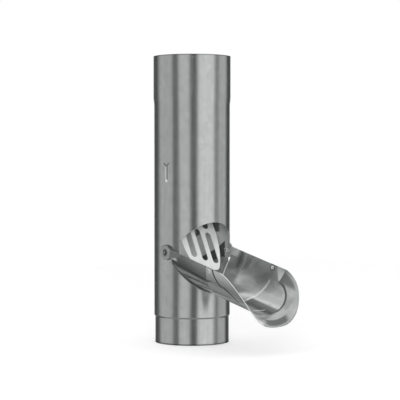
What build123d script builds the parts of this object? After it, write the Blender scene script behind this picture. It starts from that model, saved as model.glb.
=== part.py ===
from build123d import *
import math
import os

# A leaf trap for a round steel downpipe: a length of pipe with a side opening, a slanted leaf
# sieve behind it, and a hinged half-round chute that swings out of the opening. Closed, the
# chute lies round the pipe and covers the opening. Millimetres, +Z up, front towards -Y,
# origin at the centre of the bottom rim, drawn with the chute open against its stop.

# Sheet and pipe
sheet = 0.7
pipe_diameter = 100.0
pipe_height = 376.0
socket_length = 54.0
socket_clearance = 0.2
socket_cone = 10.0
spigot_length = 34.0
spigot_clearance = 0.6
spigot_cone = 2.0

# Hinge and chute. Places along the chute are measured from the hinge line.
hinge_height = 119.9
hinge_forward = 11.8
chute_tilt = 12.0
chute_clearance = 0.8
chute_rim_height = 6.3
chute_body_end = 102.0
chute_wall_start = 21.0
dish_clearance = 0.8
dish_end_angle = 57.0

# Ears
ear_radius = 10.0
ear_reach = 36.0
ear_foot = 2.8
ear_foot_angle = 37.0

# Spout
spout_seat = 0.05
spout_rim_start = 92.0
spout_floor_start = 86.0
spout_rim_end = 124.0
spout_floor_end = 179.0
lip_start = 160.0
lip_radius = 24.0
spout_side_place = 157.5
spout_side_drop = 17.3
spout_end_drop = 55.9

# Opening in the pipe
opening_half_width = 41.0
opening_top = 159.0
opening_arch = 24.5
opening_gap = 3.4
closing_gap = 4.6
shoulder_half_width = 46.6
shoulder_height = 117.5

# Rivets and washers
rivet_radius = 1.6
rivet_head_radius = 3.05
rivet_head_height = 1.1
rivet_shoulder = 0.6
rivet_bevel_radius = 2.6
rivet_crown_radius = 1.5
rivet_tail_radius = 2.4
rivet_tail_height = 1.2
rivet_fit = 0.05
rivet_seat = 0.05
ear_play = 0.06
washer_radius = 4.0
washer_thickness = 1.2
spout_rivet_place = 97.4
spout_rivet_drop = 4.1
spout_tail_height = 0.4

# Sieve. Places along it are measured up its slope from the hinge line's height.
sieve_thickness = 1.0
sieve_slope = 62.0
sieve_half_width = 29.3
sieve_half_length = 64.0
sieve_middle = 27.0
sieve_forward = 13.7
sieve_toe = 26.5
toe_round = 5.0
slot_width = 9.0
slot_pitch = 15.5
slot_length = 46.5
slot_bridge = 5.0
slot_start = -12.8
slot_stagger = 6.0
slot_margin = 2.5
flange_height = 14.0
flange_half_angle = 15.0
flange_clearance = 0.1
sieve_rivet_half_angle = 8.0
sieve_rivet_drop = 7.0

pipe_radius = pipe_diameter / 2
pipe_bore = pipe_radius - sheet
socket_bore = pipe_radius + socket_clearance
spigot_radius = pipe_bore - spigot_clearance
body_bottom = spigot_length + spigot_cone
body_top = pipe_height - socket_length - socket_cone
socket_bottom = pipe_height - socket_length

# The chute is round about its own axis, which meets the pipe's axis and lies on it when closed.
chute_inner = pipe_radius + chute_clearance
chute_outer = chute_inner + sheet
spout_inner = chute_outer + spout_seat
spout_outer = spout_inner + sheet
tilt = math.radians(chute_tilt)
axes_meet = hinge_height + hinge_forward * (1 + math.sin(tilt)) / math.cos(tilt)
chute_direction = Vector(0, -math.cos(tilt), -math.sin(tilt))
hinge_point = Vector(0, -hinge_forward, hinge_height)
chute_plane = Plane(origin=hinge_point, x_dir=(1, 0, 0), z_dir=chute_direction)
side_plane = Plane(origin=hinge_point, x_dir=chute_direction, z_dir=(-1, 0, 0))
front_plane = Plane(origin=(0, 0, 0), x_dir=(1, 0, 0), z_dir=(0, -1, 0))
chute_axis = Axis(origin=chute_plane.from_local_coords((0, hinge_forward, 0)), direction=chute_direction)

# The spout's rivets stand square to the chute's round wall, one near each rim.
rivet_angle = math.asin((hinge_forward - chute_rim_height + spout_rivet_drop) / chute_outer)
spout_rivet_middle = chute_plane.from_local_coords((0, hinge_forward, spout_rivet_place))
spout_rivet_lines = []
for side in (1, -1):
    rivet_end = (
        side * chute_outer * math.cos(rivet_angle),
        hinge_forward - chute_outer * math.sin(rivet_angle),
        spout_rivet_place,
    )
    spout_rivet_lines.append((chute_plane.from_local_coords(rivet_end) - spout_rivet_middle).normalized())

# The sieve's plane, and the flange that holds it to the pipe's back wall
slope = math.radians(sieve_slope)
slope_up = Vector(0, math.cos(slope), math.sin(slope))
sieve_point = hinge_point - Vector(0, sieve_forward, 0)
sieve_plane = Plane(origin=sieve_point, x_dir=(1, 0, 0), z_dir=Vector(1, 0, 0).cross(slope_up))
flange_outer = pipe_bore - flange_clearance
flange_inner = flange_outer - sieve_thickness
flange_half_width = flange_inner * math.sin(math.radians(flange_half_angle))
flange_top = hinge_height + (flange_outer - sieve_point.Y) * math.tan(slope) + flange_height
sieve_rivet_middle = Vector(0, 0, flange_top - sieve_rivet_drop)
sieve_rivet_lines = []
for side in (1, -1):
    turn = side * math.radians(sieve_rivet_half_angle)
    sieve_rivet_lines.append(Vector(math.sin(turn), math.cos(turn), 0))


def rivet_section(tail_face, head_face, tail_height):
    Polyline(
        (head_face + rivet_head_height, rivet_crown_radius),
        (head_face + rivet_shoulder, rivet_bevel_radius),
        (head_face, rivet_head_radius),
        (head_face, rivet_radius),
        (tail_face, rivet_radius),
        (tail_face, rivet_tail_radius),
        (tail_face - tail_height, rivet_tail_radius),
        (tail_face - tail_height, 0),
        (head_face + rivet_head_height, 0),
        close=True,
    )


# Pipe: spigot, body and socket in one rolled wall
with BuildPart() as pipe_body:
    with BuildSketch(Plane.XZ):
        with BuildLine():
            Polyline(
                (spigot_radius, 0),
                (spigot_radius, spigot_length),
                (pipe_radius, body_bottom),
                (pipe_radius, body_top),
                (socket_bore + sheet, socket_bottom),
                (socket_bore + sheet, pipe_height),
                (socket_bore, pipe_height),
                (socket_bore, socket_bottom),
                (pipe_bore, body_top),
                (pipe_bore, body_bottom),
                (spigot_radius - sheet, spigot_length),
                (spigot_radius - sheet, 0),
                close=True,
            )
        make_face()
    revolve(axis=Axis.Z)

    # The opening's upper part is a flat arch.
    arch_spring = opening_top - opening_arch
    with BuildSketch(front_plane):
        with BuildLine():
            ThreePointArc(
                (-opening_half_width, arch_spring),
                (0, opening_top),
                (opening_half_width, arch_spring),
            )
            Polyline(
                (opening_half_width, arch_spring),
                (opening_half_width, shoulder_height),
                (-opening_half_width, shoulder_height),
                (-opening_half_width, arch_spring),
            )
        make_face()
    extrude(amount=pipe_diameter, mode=Mode.SUBTRACT)

    # Its lower part ends on the slanted line where the open chute passes through the wall.
    lower_angle = math.radians((90 + chute_tilt) / 2)
    lower_line = axes_meet - opening_gap / math.cos(lower_angle)
    shoulder_depth = (lower_line - shoulder_height) / math.tan(lower_angle)
    with BuildSketch(Plane.YZ):
        with BuildLine():
            Polyline(
                (-shoulder_depth, shoulder_height),
                (-pipe_diameter, shoulder_height),
                (-pipe_diameter, lower_line - pipe_diameter * math.tan(lower_angle)),
                close=True,
            )
        make_face()
    extrude(amount=shoulder_half_width, both=True, mode=Mode.SUBTRACT)

    # Pivot holes, and the holes that hold the sieve's flange
    with BuildSketch(Plane.YZ):
        with Locations((-hinge_forward, hinge_height)):
            Circle(rivet_radius + rivet_fit)
    extrude(amount=pipe_diameter, both=True, mode=Mode.SUBTRACT)
    for line in sieve_rivet_lines:
        with BuildSketch(Plane(origin=sieve_rivet_middle, z_dir=line)):
            Circle(rivet_radius + rivet_fit)
        extrude(amount=pipe_diameter, mode=Mode.SUBTRACT)
pipe_body.part.label = "pipe_body"

# First half of the chute: a half-round shell whose rear reaches the pipe's back wall as a dish
with BuildPart() as chute_body:
    with BuildSketch(chute_plane.offset(-pipe_diameter)):
        with Locations((0, hinge_forward)):
            Circle(chute_outer)
            Circle(chute_inner, mode=Mode.SUBTRACT)
        with Locations((0, chute_rim_height)):
            Rectangle(
                2 * pipe_diameter,
                pipe_diameter,
                align=(Align.CENTER, Align.MIN),
                mode=Mode.SUBTRACT,
            )
    extrude(amount=pipe_diameter + chute_body_end)

    # Behind the wall's start only the dish is left, clear of the pipe's inner wall and narrow
    # enough to pass out through the opening.
    with BuildSketch(Plane.XY):
        with Locations((0, -chute_wall_start)):
            Rectangle(2 * pipe_diameter, 2 * pipe_diameter, align=(Align.CENTER, Align.MIN))
        Circle(pipe_bore - dish_clearance, mode=Mode.SUBTRACT)
    extrude(amount=pipe_height, mode=Mode.SUBTRACT)
    dish_half_width = shoulder_half_width - dish_clearance
    with BuildSketch(Plane.XY):
        with Locations((0, -chute_wall_start)):
            Rectangle(2 * pipe_diameter, 2 * pipe_diameter, align=(Align.CENTER, Align.MIN))
            Rectangle(
                2 * dish_half_width,
                2 * pipe_diameter,
                align=(Align.CENTER, Align.MIN),
                mode=Mode.SUBTRACT,
            )
    extrude(amount=pipe_height, mode=Mode.SUBTRACT)

    # The dish's end is cut on a slant, so that it swings out clear of the opening's lower edge.
    dish_end = lower_line + closing_gap - hinge_height - chute_outer * math.tan(lower_angle)
    dish_rise = chute_outer * math.tan(math.radians(dish_end_angle))
    with BuildSketch(side_plane):
        with BuildLine():
            Polyline(
                (dish_end + dish_rise, hinge_forward),
                (dish_end - dish_rise, hinge_forward - 2 * chute_outer),
                (-pipe_height, hinge_forward - 2 * chute_outer),
                (-pipe_height, hinge_forward),
                close=True,
            )
        make_face()
    extrude(amount=pipe_diameter, both=True, mode=Mode.SUBTRACT)

    # Ears: flat tabs beside the pipe that carry the hinge
    ear_plane = side_plane.offset(chute_inner)
    with BuildSketch(ear_plane):
        Circle(ear_radius)
        with BuildLine():
            Polyline(
                (0, chute_rim_height),
                (ear_reach, chute_rim_height),
                (ear_reach, chute_rim_height - ear_foot),
                (
                    ear_radius * math.cos(math.radians(ear_foot_angle)),
                    -ear_radius * math.sin(math.radians(ear_foot_angle)),
                ),
                (0, 0),
                close=True,
            )
        make_face()
        Circle(rivet_radius + ear_play, mode=Mode.SUBTRACT)
    ear = extrude(amount=sheet)
    mirror(ear, about=Plane.YZ)

    # Holes for the rivets that hold the spout
    for line in spout_rivet_lines:
        with BuildSketch(Plane(origin=spout_rivet_middle, z_dir=line)):
            Circle(rivet_radius + rivet_fit)
        extrude(amount=pipe_diameter, mode=Mode.SUBTRACT)
chute_body.part.label = "chute_body"

# Second half of the chute: the spout, outside the first, cut on a slant with a turned-down lip
with BuildPart() as chute_spout:
    lip_turn = math.degrees(math.asin((spout_floor_end - lip_start) / lip_radius))
    with BuildSketch(side_plane):
        with BuildLine():
            floor_in = hinge_forward - spout_inner
            floor_out = hinge_forward - spout_outer
            Line((spout_floor_start, floor_in), (lip_start, floor_in))
            inner_lip = CenterArc((lip_start, floor_in - lip_radius), lip_radius, 90, -lip_turn)
            outer_lip = CenterArc((lip_start, floor_in - lip_radius), lip_radius - sheet, 90, -lip_turn)
            Line(inner_lip @ 1, outer_lip @ 1)
            Line((lip_start, floor_out), (spout_floor_start, floor_out))
            Line((spout_floor_start, floor_out), (spout_floor_start, floor_in))
        make_face()
    revolve(axis=chute_axis)

    # Cut along the rims and down both slanted ends
    with BuildSketch(side_plane):
        with BuildLine():
            mouth = ThreePointArc(
                (spout_rim_end, chute_rim_height),
                (spout_side_place, chute_rim_height - spout_side_drop),
                (spout_floor_end, chute_rim_height - spout_end_drop),
            )
            Polyline(
                mouth @ 1,
                (2 * spout_floor_end, chute_rim_height - spout_end_drop),
                (2 * spout_floor_end, 2 * pipe_diameter),
                (0, 2 * pipe_diameter),
                (0, -pipe_diameter),
                (spout_floor_start, floor_out),
                (spout_rim_start, chute_rim_height),
                mouth @ 0,
            )
        make_face()
    extrude(amount=2 * pipe_diameter, both=True, mode=Mode.SUBTRACT)
    for line in spout_rivet_lines:
        with BuildSketch(Plane(origin=spout_rivet_middle, z_dir=line)):
            Circle(rivet_radius + rivet_fit)
        extrude(amount=pipe_diameter, mode=Mode.SUBTRACT)
chute_spout.part.label = "chute_spout"

# Sieve: a slotted plate across the pipe, its top end turned up against the back wall
with BuildPart() as sieve:
    with BuildSketch(sieve_plane):
        with Locations((0, sieve_middle)):
            Ellipse(sieve_half_width, sieve_half_length)
        with Locations((0, -sieve_toe)):
            Rectangle(
                2 * pipe_diameter,
                pipe_diameter,
                align=(Align.CENTER, Align.MAX),
                mode=Mode.SUBTRACT,
            )
        fillet(vertices().sort_by(Axis.Y)[:2], toe_round)
        with Locations((0, sieve_middle)):
            Rectangle(
                2 * flange_half_width,
                2 * pipe_diameter,
                align=(Align.CENTER, Align.MIN),
            )

        # Staggered columns of slots, kept inside the plate's edge
        slot_step = slot_length + slot_bridge
        for column in (-1, 0, 1):
            across = column * slot_pitch
            edge_share = (abs(across) + slot_width / 2) / sieve_half_width
            reach = sieve_half_length * math.sqrt(1 - edge_share**2) - slot_margin
            lowest = max(sieve_middle - reach, slot_margin - sieve_toe)
            for row in (0, 1):
                start = slot_start - column * slot_stagger + row * slot_step
                low = max(start, lowest)
                high = min(start + slot_length, sieve_middle + reach)
                if high - low > slot_width:
                    with Locations((across, (low + high) / 2)):
                        SlotOverall(high - low, slot_width, rotation=90, mode=Mode.SUBTRACT)
    extrude(amount=-sieve_thickness)
    with BuildSketch(Plane.XY):
        Circle(2 * pipe_diameter)
        Circle(flange_outer, mode=Mode.SUBTRACT)
    extrude(amount=2 * pipe_height, mode=Mode.SUBTRACT)

    # The flange is bent to the pipe's inner wall and riveted through it.
    with BuildSketch(Plane.XY.offset(hinge_height)):
        with BuildLine():
            outer = CenterArc((0, 0), flange_outer, 90 - flange_half_angle, 2 * flange_half_angle)
            inner = CenterArc((0, 0), flange_inner, 90 - flange_half_angle, 2 * flange_half_angle)
            Line(outer @ 0, inner @ 0)
            Line(outer @ 1, inner @ 1)
        make_face()
    extrude(amount=flange_top - hinge_height)
    split(bisect_by=sieve_plane.offset(-sieve_thickness), keep=Keep.TOP)
    for line in sieve_rivet_lines:
        with BuildSketch(Plane(origin=sieve_rivet_middle, z_dir=line)):
            Circle(rivet_radius + rivet_fit)
        extrude(amount=pipe_diameter, mode=Mode.SUBTRACT)
sieve.part.label = "sieve"

# Two rivets through the back wall hold the sieve's flange.
with BuildPart() as sieve_rivets:
    for line in sieve_rivet_lines:
        with BuildSketch(Plane(origin=sieve_rivet_middle, x_dir=line, z_dir=(0, 0, 1))):
            with BuildLine():
                rivet_section(
                    math.sqrt(flange_inner**2 - rivet_tail_radius**2) - rivet_seat,
                    pipe_radius + rivet_seat,
                    rivet_tail_height,
                )
            make_face()
        revolve(axis=Axis(origin=sieve_rivet_middle, direction=line))
sieve_rivets.part.label = "sieve_rivets"

# Two rivets through the first half's round wall hold the spout.
with BuildPart() as spout_rivets:
    for line in spout_rivet_lines:
        with BuildSketch(Plane(origin=spout_rivet_middle, x_dir=line, z_dir=chute_direction)):
            with BuildLine():
                rivet_section(
                    math.sqrt(chute_inner**2 - rivet_tail_radius**2) - rivet_seat,
                    spout_outer + rivet_seat,
                    spout_tail_height,
                )
            make_face()
        revolve(axis=Axis(origin=spout_rivet_middle, direction=line))
spout_rivets.part.label = "spout_rivets"

# The chute's pivots: a rivet each side through the pipe's wall, a washer and the ear
hinge_line = Axis(origin=hinge_point, direction=(1, 0, 0))
with BuildPart() as pivot_rivets:
    with BuildSketch(Plane(origin=hinge_point, x_dir=(1, 0, 0), z_dir=(0, 0, 1))):
        with BuildLine():
            rivet_section(
                math.sqrt(pipe_bore**2 - (hinge_forward + rivet_tail_radius) ** 2) - rivet_seat,
                chute_outer + ear_play,
                rivet_tail_height,
            )
        make_face()
    revolve(axis=hinge_line)
    mirror(about=Plane.YZ)
pivot_rivets.part.label = "pivot_rivets"

with BuildPart() as pivot_washers:
    washer_face = math.sqrt(pipe_radius**2 - (hinge_forward - washer_radius) ** 2) + rivet_seat
    with BuildSketch(side_plane.offset(washer_face)):
        Circle(washer_radius)
        Circle(rivet_radius + rivet_fit, mode=Mode.SUBTRACT)
    extrude(amount=washer_thickness)
    mirror(about=Plane.YZ)
pivot_washers.part.label = "pivot_washers"

pieces = (
    pipe_body,
    sieve,
    sieve_rivets,
    pivot_rivets,
    pivot_washers,
    chute_body,
    chute_spout,
    spout_rivets,
)
os.makedirs("parts", exist_ok=True)
for piece in pieces:
    export_step(piece.part, f"parts/{piece.part.label}.step")
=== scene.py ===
import math

import bpy
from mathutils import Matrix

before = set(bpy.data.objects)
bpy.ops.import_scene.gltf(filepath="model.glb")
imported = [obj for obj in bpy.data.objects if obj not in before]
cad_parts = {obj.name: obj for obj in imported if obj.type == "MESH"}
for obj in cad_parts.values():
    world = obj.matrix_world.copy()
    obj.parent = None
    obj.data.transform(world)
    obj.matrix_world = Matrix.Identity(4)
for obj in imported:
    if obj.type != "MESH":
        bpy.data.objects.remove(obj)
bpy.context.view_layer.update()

# Pipe: a length of round downpipe in zinc-coated steel sheet. Its top end is widened, its bottom
# end is narrowed, and an arched opening is cut in its front. It was rolled with the grain of its
# coat running up it, and it carries all the other pieces on rivets.


# Shader sums are written as plain expressions on this wrapper round a node's socket.
class Sock:
    def __init__(self, tree, socket=None):
        self.tree = tree
        self.socket = socket

    # Any node: its kind, its settings, and a value or a link for each of its sockets
    def node(self, kind, settings, sockets, out=0):
        made = self.tree.nodes.new(kind)
        for name, value in settings.items():
            setattr(made, name, value)
        for key, value in sockets.items():
            if isinstance(value, Sock):
                self.tree.links.new(value.socket, made.inputs[key])
            else:
                made.inputs[key].default_value = value
        return Sock(self.tree, made.outputs[out])

    def math(self, operation, *values):
        return self.node("ShaderNodeMath", {"operation": operation}, dict(enumerate(values)))

    def __add__(self, other):
        return self.math("ADD", self, other)

    def __radd__(self, other):
        return self.math("ADD", other, self)

    def __sub__(self, other):
        return self.math("SUBTRACT", self, other)

    def __rsub__(self, other):
        return self.math("SUBTRACT", other, self)

    def __mul__(self, other):
        return self.math("MULTIPLY", self, other)

    def __rmul__(self, other):
        return self.math("MULTIPLY", other, self)

    def __pow__(self, other):
        return self.math("POWER", self, other)

    def __neg__(self):
        return self.math("MULTIPLY", self, -1.0)

    def __abs__(self):
        return self.math("ABSOLUTE", self)

    # From 0 at the low value up to 1 at the high one
    def step(self, low, high):
        settings = {"interpolation_type": "SMOOTHSTEP"}
        return self.node("ShaderNodeMapRange", settings, {0: self, 1: low, 2: high})

    # From 1 at the low value down to 0 at the high one
    def fade(self, low, high):
        return 1.0 - self.step(low, high)

    # A line where the value is near 0, by half its width and the width of its soft edge
    def line(self, half, soft):
        return abs(self).fade(half, half + soft)

    # Straight distance from where this value and the other are both 0
    def apart(self, other):
        return (self ** 2.0 + other ** 2.0) ** 0.5

    # How far a place lies along a direction, past a start
    def along(self, direction, start=0.0):
        settings = {"operation": "DOT_PRODUCT"}
        sockets = {0: self, 1: direction}
        return self.node("ShaderNodeVectorMath", settings, sockets, out="Value") - start

    def scaled(self, scale):
        return self.node("ShaderNodeMapping", {}, {"Vector": self, "Scale": scale})

    def noise(self, scale, detail):
        sockets = {"Vector": self, "Scale": scale, "Detail": detail}
        return self.node("ShaderNodeTexNoise", {}, sockets)

    # The first colour where this value is 0, the second where it is 1
    def mix(self, first, second):
        first, second = (
            colour if isinstance(colour, Sock) else (*colour, 1.0) for colour in (first, second)
        )
        sockets = {0: self, 6: first, 7: second}
        return self.node("ShaderNodeMix", {"data_type": "RGBA"}, sockets, out=2)


# The metal of every piece: fine rolling lines drawn out along the grain, faint cloudy crystals of
# zinc and a little dull grey. Each piece adds its own marks to it.
class Zinc:
    def __init__(self, name, pale, dull, rough, grain, metallic):
        self.material = bpy.data.materials.new(name)
        self.material.use_nodes = True
        tree = self.material.node_tree
        self.shader = tree.nodes["Principled BSDF"]
        self.metallic = metallic
        self.shader.inputs["Metallic"].default_value = metallic
        self.place = Sock(tree).node("ShaderNodeTexCoord", {}, {}, out="Object")
        drawn = self.place.scaled(grain)
        fine = drawn.noise(scale=420.0, detail=3.0)
        broad = drawn.noise(scale=70.0, detail=2.0)
        clouds = self.place.noise(scale=95.0, detail=3.0)
        sockets = {"Vector": self.place, "Scale": 150.0}
        crystals = self.place.node("ShaderNodeTexVoronoi", {}, sockets, out="Color")
        grey = crystals.along((0.3, 0.4, 0.3))
        tone = fine * 0.35 + broad * 0.3 + clouds * 0.2 + grey * 0.25
        self.colour = tone.step(0.25, 0.85).mix(dull, pale)
        fine_rough, broad_rough = 0.1, 0.08
        smooth_part = rough - (fine_rough + broad_rough) / 2
        self.rough = fine * fine_rough + broad * broad_rough + smooth_part
        self.height = fine * 0.3 + broad * 0.5

    # Lays a colour over what is there, by an amount from 0 to 1
    def mark(self, amount, colour):
        self.colour = amount.mix(self.colour, colour)

    def feed(self, name, value):
        self.material.node_tree.links.new(value.socket, self.shader.inputs[name])

    # Feeds the shader, and puts the material on the pieces with these names
    def finish(self, *names, bump):
        relief = 0.0006
        sockets = {"Strength": bump, "Distance": relief, "Height": self.height}
        self.feed("Base Color", self.colour)
        self.feed("Roughness", self.rough)
        self.feed("Normal", self.height.node("ShaderNodeBump", {}, sockets))
        for name in names:
            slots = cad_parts[name].data.materials
            slots.clear()
            slots.append(self.material)


backwards = (0.0, 1.0, 0.0)
upwards = (0.0, 0.0, 1.0)
pipe_height = 0.376
mid_wall_radius = 0.0496
shade_black = (0.08, 0.085, 0.085)
pipe = Zinc(
    "pipe_steel",
    pale=(0.6, 0.62, 0.61),
    dull=(0.48, 0.5, 0.49),
    rough=0.2,
    grain=(1.0, 1.0, 0.03),
    metallic=0.95,
)
pipe_back = pipe.place.along(backwards)
pipe_up = pipe.place.along(upwards)

# A plain flow arrow is pressed in on the left. Its relief is painted: a painted highlight down one
# side of its shaft, painted shade down the other, painted shade in the fork at its top and a
# painted highlight dot at its foot.
shaft_middle, shaft_half = 0.2228, 0.0085
fork_middle, fork_half, fork_point = 0.2335, 0.0022, 0.2315
foot_middle, foot_radius = 0.2128, 0.0016
bright_side, dark_side, press_half = 0.0012, 0.0014, 0.0007
arrow_side = pipe.place.along((-0.976, -0.218, 0.0)).step(0.04, 0.045)
arrow_across = pipe.place.along((0.218, -0.976, 0.0))
shaft = (pipe_up - shaft_middle).line(shaft_half, 0.0006) * arrow_side
arrow_highlight = (arrow_across + bright_side).line(press_half, 0.0006) * shaft
arrow_shade = (arrow_across - dark_side).line(press_half, 0.0005) * shaft
fork_shade = (abs(arrow_across) - (pipe_up - fork_point)).line(0.0009, 0.0006)
fork_shade = fork_shade * (pipe_up - fork_middle).line(fork_half, 0.0005) * arrow_side
foot_highlight = arrow_across.apart(pipe_up - foot_middle).fade(foot_radius, 0.0024) * arrow_side
pipe.mark(arrow_highlight * 0.6, (0.95, 0.97, 0.96))
pipe.mark(arrow_shade * 0.55, (0.1, 0.1, 0.1))
pipe.mark(fork_shade * 0.75, shade_black)
pipe.mark(foot_highlight, (1.0, 1.0, 1.0))
pipe.height = pipe.height - shaft * arrow_across.line(0.001, 0.0008) * 4.0

# The cut edges at both ends are darkened with painted shade.
cut_end_shade = pipe_up.line(0.0012, 0.0008) + (pipe_up - pipe_height).line(0.0006, 0.0006)
pipe.mark(cut_end_shade * 0.8, shade_black)

# The inner wall is duller and paler than the outer one. Two slanting patches of painted shadow
# darken it behind the lower and the upper ends of the sieve.
inner_wall_middle, inner_wall_half = 0.18, 0.135
flat_place = pipe.place.scaled((1.0, 1.0, 0.0))
length = {"operation": "LENGTH"}
off_axis = flat_place.node("ShaderNodeVectorMath", length, {0: flat_place}, out="Value")
inner_wall = off_axis.fade(mid_wall_radius - 0.0001, mid_wall_radius + 0.0001)
inner_wall = inner_wall * (pipe_up - inner_wall_middle).line(inner_wall_half, 0.005)
low_shadow_foot, low_shadow_top, low_slant = 0.1, 0.1285, 0.6
high_shadow_foot, high_shadow_front, high_slant = 0.1425, 0.175, 1.1
low_painted_shadow = (low_shadow_top - pipe_back * low_slant - pipe_up).step(0.0, 0.0012)
low_painted_shadow = low_painted_shadow * pipe_up.step(low_shadow_foot, 0.107) * pipe_back.step(-0.0085, -0.0065)
slanting_foot = pipe_up + pipe_back * high_slant - high_shadow_front
high_painted_shadow = pipe_up.math("MAXIMUM", pipe_up - high_shadow_foot, slanting_foot).step(0.0, 0.002)
high_painted_shadow = high_painted_shadow * pipe_back.step(0.003, 0.008) * pipe_back.fade(0.036, 0.0385)
pipe.mark(inner_wall * 0.9, (0.78, 0.8, 0.79))
pipe.mark(inner_wall * low_painted_shadow * 0.9, (0.02, 0.02, 0.02))
pipe.mark(inner_wall * high_painted_shadow * 0.8, (0.03, 0.03, 0.03))
pipe.feed("Metallic", pipe.metallic - inner_wall * 0.6)
pipe.finish("pipe_body", bump=0.05)

# Sieve: a sloping plate of thicker zinc-coated sheet, punched with long slots. A flange turned up
# at its top is riveted to the pipe's back wall. Its coat is paler and duller than the pipe's.
plate = Zinc(
    "sieve_steel",
    pale=(0.84, 0.86, 0.85),
    dull=(0.72, 0.74, 0.73),
    rough=0.42,
    grain=(1.0, 0.3, 0.1),
    metallic=0.15,
)
plate.finish("sieve", bump=0.03)

# Rivets and washers: blind rivets in bright drawn metal. Two hold the sieve, two with a washer
# inside are the pivots of the chute, and two join its shells. The hollow in the middle of a head,
# where the pin broke off, is painted shade, and the outer heads are painted darker.
rightwards = (1.0, 0.0, 0.0)
pivot_forward, pivot_height = 0.0118, 0.1199
spout_rivet_ahead, spout_rivet_rise = 0.0974, 0.0022
pins = Zinc(
    "rivet_metal",
    pale=(0.95, 0.96, 0.96),
    dull=(0.8, 0.81, 0.81),
    rough=0.35,
    grain=(1.0, 1.0, 1.0),
    metallic=0.35,
)


# Distance from the line through both pivots
def from_pivot(metal):
    behind = metal.place.along(backwards) + pivot_forward
    return behind.apart(metal.place.along(upwards) - pivot_height)


# On the chute, places are measured from the pivots: ahead along its floor, and up out of its
# trough. It slopes 12 degrees down, which gives the level and the falling share of a length.
level_share, fall_share = 0.97815, 0.20791
pivot_ahead, pivot_rise = -0.01339, 0.11973


def chute_ahead(metal):
    return metal.place.along((0.0, -level_share, -fall_share), pivot_ahead)


def chute_rise(metal):
    return metal.place.along((0.0, -fall_share, level_share), pivot_rise)


# Distance from the line through both rivets that join the shells
def from_spout_rivet(ahead, rise):
    return (ahead - spout_rivet_ahead).apart(rise - spout_rivet_rise)


pin_spout = from_spout_rivet(chute_ahead(pins), chute_rise(pins))
pin_pivot = from_pivot(pins)
outer_head = abs(pins.place.along(rightwards)).step(0.0512, 0.0515)
spout_head = outer_head * pin_spout.fade(0.006, 0.008)
pivot_head = outer_head * pin_pivot.fade(0.006, 0.008)
pins.mark(pin_spout.fade(0.0007, 0.0012), (0.06, 0.06, 0.06))
pins.mark(pin_pivot.fade(0.0014, 0.0019) * (1.0 - outer_head), (0.03, 0.03, 0.03))
pins.mark(spout_head * 0.6, (0.3, 0.31, 0.31))
pins.mark(pivot_head * 0.75, (0.12, 0.12, 0.12))
pins.mark(pivot_head * pin_pivot.step(0.0012, 0.0016), (0.05, 0.05, 0.05))
pins.finish("sieve_rivets", "pivot_rivets", "pivot_washers", "spout_rivets", bump=0.04)

# Chute body: the chute's first shell, a half round of thin zinc-coated sheet. Its two ears hang on
# the pivots, and its rear is cut so that it swings through the opening. It was rolled along its
# length, and its outside carries painted dark reflections.


# The coat on both shells of the chute, with streaks along them and a faint wave in the sheet
class Shell(Zinc):
    def __init__(self, name, pale, dull, rough, middle_radius):
        super().__init__(name, pale, dull, rough, grain=(1.0, 1.0, 1.0), metallic=0.75)
        self.across = self.place.along(rightwards)
        self.ahead = chute_ahead(self)
        self.rise = chute_rise(self)
        axis_rise = 0.0118
        drop = axis_rise - self.rise
        self.round = self.across.math("ARCTAN2", self.across, drop) * math.degrees(1.0)
        from_axis = self.across.apart(drop)
        self.outside = from_axis.step(middle_radius - 0.0001, middle_radius + 0.0001)
        self.inside = 1.0 - self.outside
        stretched = {0: self.across, 1: self.ahead * 0.04, 2: self.rise}
        rolled = self.across.node("ShaderNodeCombineXYZ", {}, stretched)
        streaks = rolled.noise(scale=130.0, detail=3.0).step(0.3, 0.7)
        self.mark(streaks * 0.5, dull)
        waves = rolled.noise(scale=38.0, detail=3.0) * 0.6
        waves = waves + self.place.noise(scale=48.0, detail=4.0) * 0.4
        self.height = self.height + waves * 6.0
        self.cloud = waves.step(0.44, 0.58)

    # Between two angles round the chute, in degrees from the middle of its floor
    def between(self, low, high, soft):
        return (self.round - (low + high) / 2).line((high - low) / 2, soft)


edge_highlight_white = (1.0, 1.0, 1.0)
reflection_black = (0.06, 0.065, 0.065)
grey_cloud = (0.25, 0.26, 0.255)
trough = Shell(
    "chute_steel",
    pale=(0.45, 0.47, 0.46),
    dull=(0.34, 0.36, 0.35),
    rough=0.18,
    middle_radius=0.05115,
)
wall_angle = abs(trough.round)
# Inside, the walls low down on both sides of the floor's middle are painted pale, a painted
# highlight.
low_wall_highlight = trough.inside * wall_angle.step(4.0, 22.0) * wall_angle.fade(50.0, 68.0)
trough.mark(low_wall_highlight, (0.86, 0.88, 0.87))

# Outside: two long dark streaks on the left, which are painted reflections, and darker upper walls
# from just in front of the ears, a painted dark reflection
streak_start, streak_end = 0.008, 0.078
upper_angle, upper_fall, lower_angle = 67.5, 84.0, 50.0
ear_radius = 0.0096
left = trough.outside * trough.across.fade(-0.001, 0.0)
left = left * trough.ahead.step(streak_start, 0.016) * trough.ahead.fade(streak_end, 0.094)
upper_streak_reflection = (trough.round + upper_angle - trough.ahead * upper_fall).line(1.2, 3.2)
lower_streak_reflection = (trough.round + lower_angle).line(1.0, 3.0) * trough.ahead.step(0.02, 0.035)
wall_dark_reflection = trough.outside * wall_angle.step(56.0, 62.0) * trough.ahead.step(ear_radius, 0.0108)
wall_dark_reflection = wall_dark_reflection * (0.85 - trough.ahead.step(0.03, 0.085) * 0.6)
trough.mark(left * upper_streak_reflection * 0.8, reflection_black)
trough.mark(left * lower_streak_reflection * 0.8, reflection_black)
trough.mark(wall_dark_reflection, (0.18, 0.185, 0.185))
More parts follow.
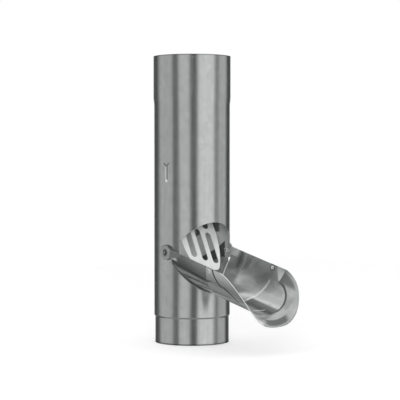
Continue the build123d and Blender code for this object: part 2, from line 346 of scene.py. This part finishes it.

# Ears: a dark ring round each pivot's head, a dark round edge, and a duller, paler inside.
# The right wall is pale inside too, where it starts.
head_edge, ear_inner_face = 0.0037, 0.0498
trough_pivot = from_pivot(trough)
ear_outside = abs(trough.across).step(0.0511, 0.0513)
pivot_head_ring = (trough_pivot - head_edge).line(0.0009, 0.0009) * ear_outside
ear_edge = (trough_pivot - ear_radius).line(0.0003, 0.0003)
ear_edge = ear_edge * trough.place.along(upwards).step(0.124, 0.127) * ear_outside
ear_inside = (abs(trough.across) - ear_inner_face).line(0.0012, 0.0002)
ear_inside = ear_inside * trough.ahead.fade(0.02, 0.028)
wall_start = trough.inside * trough.ahead.fade(0.022, 0.03) * trough.round.step(50.0, 62.0)
trough.mark(pivot_head_ring * 0.8, (0.1, 0.105, 0.105))
trough.mark(ear_edge * 0.7, (0.05, 0.055, 0.055))
trough.mark(wall_start * 0.8, (0.85, 0.87, 0.86))
trough.mark(ear_inside * 0.9, (0.62, 0.64, 0.63))

# Inside: grey clouds on the floor, a dark ring round each rivet that joins the shells, two dark
# bands across the right wall that are painted reflections of the sieve's bars, and painted
# highlights on the cut edges at the rear and the front
rear_start, rear_angle, rear_bow = 0.0115, 66.5, 0.000012
front_end = 0.1013
first_bar_reflection, second_bar_reflection = 0.0325, 0.045
ring_radius = 0.0034
rear_edge_highlight = trough.ahead - rear_start - (rear_angle - trough.round) ** 2.0 * rear_bow
rear_edge_highlight = trough.inside * rear_edge_highlight.line(0.0006, 0.0005) * trough.between(38.0, 67.0, soft=3.0)
front_edge_highlight = (trough.ahead - front_end).line(0.001, 0.0005) * trough.rise.fade(-0.015, -0.011)
bar_reflections = (trough.ahead - first_bar_reflection).line(0.0008, 0.002)
bar_reflections = bar_reflections + (trough.ahead - second_bar_reflection).line(0.001, 0.002)
bar_reflections = trough.inside * bar_reflections * trough.between(62.0, 80.0, soft=8.0)
rivet_ring = from_spout_rivet(trough.ahead, trough.rise) - ring_radius
rivet_ring = rivet_ring.line(0.0008, 0.0008)
trough.mark(trough.inside * trough.cloud * 0.45, grey_cloud)
trough.mark(rivet_ring * 0.6, (0.1, 0.1, 0.1))
trough.mark(bar_reflections * 0.6, (0.16, 0.17, 0.17))
trough.mark(rear_edge_highlight, edge_highlight_white)
trough.mark(front_edge_highlight, edge_highlight_white)
trough.feed("Metallic", trough.metallic - ear_inside * 0.5 - rear_edge_highlight * 0.6)
trough.finish("chute_body", bump=0.05)

# Spout: the chute's second shell, of the same sheet, lapped over the first and held by a rivet on
# each side. A crease pressed in from each rim leaves a flat corner in front of it, and the edge of
# the slanted mouth is turned out in a band.
spout = Shell(
    "spout_steel",
    pale=(0.5, 0.52, 0.51),
    dull=(0.38, 0.4, 0.39),
    rough=0.2,
    middle_radius=0.0519,
)
ahead, rise = spout.ahead, spout.rise


# The middle of a circle through three points
def circle_middle(first, second, third):
    (ax, ay), (bx, by), (cx, cy) = first, second, third
    a, b, c = ax * ax + ay * ay, bx * bx + by * by, cx * cx + cy * cy
    divisor = 2 * (ax * (by - cy) + bx * (cy - ay) + cx * (ay - by))
    return (
        (a * (by - cy) + b * (cy - ay) + c * (ay - by)) / divisor,
        (a * (cx - bx) + b * (ax - cx) + c * (bx - ax)) / divisor,
    )


# Seen from the side, the mouth's edge is a bow through these points, each ahead and up. What
# follows it is placed by how far behind the edge it lies.
mouth_corner, mouth_side, mouth_foot = (0.124, 0.0063), (0.1575, -0.011), (0.179, -0.0496)
middle_ahead, middle_rise = circle_middle(mouth_corner, mouth_side, mouth_foot)
mouth_radius = math.dist(mouth_corner, (middle_ahead, middle_rise))
behind_edge = mouth_radius - (ahead - middle_ahead).apart(rise - middle_rise)

# Floor: painted reflections, pale on its right and a broad dark band along its middle, and a thin
# pale scratch
run_end = 0.164
scratch_ahead, scratch_bow = 0.139, 20.0
pale_floor_reflection = spout.inside * spout.between(24.0, 56.0, soft=10.0)
dark_run_reflection = spout.inside * spout.between(6.0, 20.0, soft=6.0) * ahead.fade(run_end, 0.172)
scratch = (ahead - scratch_ahead - spout.across ** 2.0 * scratch_bow).line(0.0006, 0.0008)
scratch = spout.inside * scratch * spout.between(-14.0, 10.0, soft=3.0)
spout.mark(pale_floor_reflection, (0.8, 0.82, 0.81))
spout.mark(dark_run_reflection * 0.9, (0.08, 0.085, 0.085))
spout.mark(spout.inside * spout.cloud * 0.45, grey_cloud)
spout.mark(scratch, (1.0, 1.0, 1.0))

# Outside: a painted highlight along the rims, painted shade under the rear half, and a dark line
# of painted shade down the crease
rim_rise = 0.0075
crease_ahead, crease_lean, crease_bow = 0.1049, 0.15, 28.0
rim_drop = rim_rise - rise
crease = ahead - crease_ahead - rim_drop * crease_lean - rim_drop ** 2.0 * crease_bow
near_rim = rise.step(-0.0145, -0.012)
spout_under_shade = spout.outside * rise.fade(-0.032, -0.014) * ahead.fade(0.13, 0.15)
spout.mark(spout.outside * rise.step(-0.03, -0.012) * 0.8, (0.7, 0.72, 0.71))
spout.mark(spout_under_shade * 0.75, (0.24, 0.25, 0.245))
spout.mark(spout.outside * crease.line(0.0009, 0.001) * near_rim, (0.02, 0.02, 0.02))

# Corner: painted pale inside, as the highlight of a flat face between the crease and a slanting
# end, with painted shade in front of it
corner_ahead, corner_drop, corner_lean = 0.1176, 0.0103, 0.233
corner_end = ahead - corner_ahead - (rise + corner_drop) * corner_lean
corner_highlight = spout.inside * crease.step(0.0, 0.0008) * corner_end.fade(0.0, 0.0008) * near_rim
shade = corner_end.step(0.0, 0.001) * rise.step(-0.016, -0.009) * behind_edge.step(0.001, 0.006)
spout.mark(corner_highlight, (0.85, 0.86, 0.86))
spout.mark(spout.inside * shade * 0.85, (0.2, 0.205, 0.2))

# Band round the mouth: painted a mottled pale as a painted reflection, with a dark painted
# reflection low down, a dark line of painted reflection along its rear and a painted highlight
# along its edge on the left
band_width, line_behind, low_reflection_behind, highlight_behind = 0.015, 0.0172, 0.0035, 0.0004
low_reflection_across, low_reflection_half = 0.004, 0.013
band = behind_edge.fade(band_width, 0.018) * corner_end.step(0.0, 0.001) * (1.0 - shade)
mottled = spout.place.noise(scale=60.0, detail=3.0).step(0.3, 0.7)
low_dark_reflection = (behind_edge - low_reflection_behind).line(0.0018, 0.0016)
low_dark_reflection = low_dark_reflection * (spout.across - low_reflection_across).line(low_reflection_half, 0.008)
rear_line_reflection = (behind_edge - line_behind).line(0.0006, 0.0012) * rise.fade(-0.013, -0.009)
rear_line_reflection = rear_line_reflection * abs(spout.across).step(0.012, 0.02)
left_edge_highlight = (behind_edge - highlight_behind).line(0.0007, 0.0004) * spout.across.fade(-0.022, -0.016)
left_edge_highlight = left_edge_highlight * corner_end.step(-0.001, 0.001)
spout.mark(band, mottled.mix((0.5, 0.515, 0.51), (0.6, 0.62, 0.61)))
spout.mark(low_dark_reflection * 0.8, (0.1, 0.1, 0.1))
spout.mark(rear_line_reflection * 0.9, reflection_black)
spout.mark(left_edge_highlight, (0.98, 0.99, 0.99))
spout.height = spout.height - band * 2.0
spout.finish("chute_spout", bump=0.05)

# Floor: a plain white board under the trap. It is white to the camera and keeps the trap's
# shadow, and the metal doesn't mirror it.
floor_white = bpy.data.materials.new("floor_white")
floor_white.use_nodes = True
tree = floor_white.node_tree
shader = tree.nodes["Principled BSDF"]
shader.inputs["Base Color"].default_value = (0.85, 0.85, 0.85, 1.0)
shader.inputs["Roughness"].default_value = 0.9
shader.inputs["Emission Strength"].default_value = 0.4
seen = Sock(tree).node("ShaderNodeLightPath", {}, {}, out="Is Camera Ray")
mirrored = Sock(tree).node("ShaderNodeLightPath", {}, {}, out="Is Glossy Ray")
glow = seen.mix((0.0, 0.0, 0.0), (1.0, 1.0, 1.0))
tree.links.new(glow.socket, shader.inputs["Emission Color"])
clear = Sock(tree).node("ShaderNodeBsdfTransparent", {}, {})
board = Sock(tree, shader.outputs["BSDF"])
both = mirrored.node("ShaderNodeMixShader", {}, {0: mirrored, 1: board, 2: clear})
tree.links.new(both.socket, tree.nodes["Material Output"].inputs["Surface"])
floor_size, floor_gap = 2.4, 0.0005
bpy.ops.mesh.primitive_plane_add(size=floor_size, location=(0.0, 0.0, -floor_gap))
floor = bpy.context.object
floor.name = "floor"
floor.data.materials.append(floor_white)

# Room: white to the camera. What the metal mirrors is a ring of tall pale and dark cards, which
# gives it upright bands. Each card has its middle and half its width, in degrees round the trap
# from the camera, then the width of its soft edge and the light that it adds.
cards = {
    "dark_left": (-50.5, 6.0, 8.0, -0.42),
    "pale_left": (-25.0, 12.0, 8.0, 0.14),
    "dark_middle": (5.0, 5.0, 10.0, -0.50),
    "pale_right": (44.0, 21.0, 8.0, 0.36),
    "dark_right": (80.5, 3.5, 8.0, -0.32),
    "end_left": (-155.0, 25.0, 24.0, -0.50),
    "end_right": (155.0, 22.0, 14.0, -0.52),
}
wall_light, ceiling_light, ground_light = 0.58, 0.72, 0.3
behind_half, behind_soft, behind_added = 14.0, 10.0, 0.55
world = bpy.data.worlds.new("room")
bpy.context.scene.world = world
world.use_nodes = True
room = world.node_tree
background = room.nodes["Background"]
direction = Sock(room).node("ShaderNodeTexCoord", {}, {}, out="Generated")
seen = Sock(room).node("ShaderNodeLightPath", {}, {}, out="Is Camera Ray")
across = direction.along((0.81, -0.586, 0.0))
towards = direction.along((-0.586, -0.81, 0.0))
height = direction.along(upwards)
turn = across.math("ARCTAN2", across, towards) * math.degrees(1.0)
light = wall_light
for middle, half, soft, added in cards.values():
    light = light + (turn - middle).line(half, soft) * added
# One more pale card stands right behind the trap, where the turn jumps from 180 to -180.
light = light + (abs(turn) - 180.0).line(behind_half, behind_soft) * behind_added
light = light + (ceiling_light - light) * height.step(0.12, 0.6)
light = light + (ground_light - light) * (-height).step(0.5, 0.85)
strength = light + (1.0 - light) * seen
background.inputs["Color"].default_value = (1.0, 1.0, 1.0, 1.0)
room.links.new(strength.socket, background.inputs["Strength"])

# Lamp: a soft box in front of the opening that lights the sieve and the trough. The metal doesn't
# mirror it.
lamp_data = bpy.data.lights.new("front_lamp", "AREA")
lamp_data.shape = "RECTANGLE"
lamp_data.size = 0.5
lamp_data.size_y = 0.4
lamp_data.energy = 12.0
lamp = bpy.data.objects.new("front_lamp", lamp_data)
bpy.context.collection.objects.link(lamp)
lamp.location = (-0.85, -1.2, 0.32)
lamp.rotation_euler = (math.radians(84.0), 0.0, math.radians(-35.3))
lamp.visible_glossy = False

# Camera: it stands where the photo was taken from.
camera_data = bpy.data.cameras.new("camera")
camera_data.sensor_width = 36.0
camera_data.lens = 126.5
camera_data.clip_start = 0.05
camera = bpy.data.objects.new("camera", camera_data)
bpy.context.collection.objects.link(camera)
camera.location = (-1.0799, -1.5114, 0.2337)
camera.rotation_euler = (math.radians(88.56), 0.0, math.radians(-35.87))
bpy.context.scene.camera = camera
bpy.context.scene.view_settings.view_transform = "Standard"
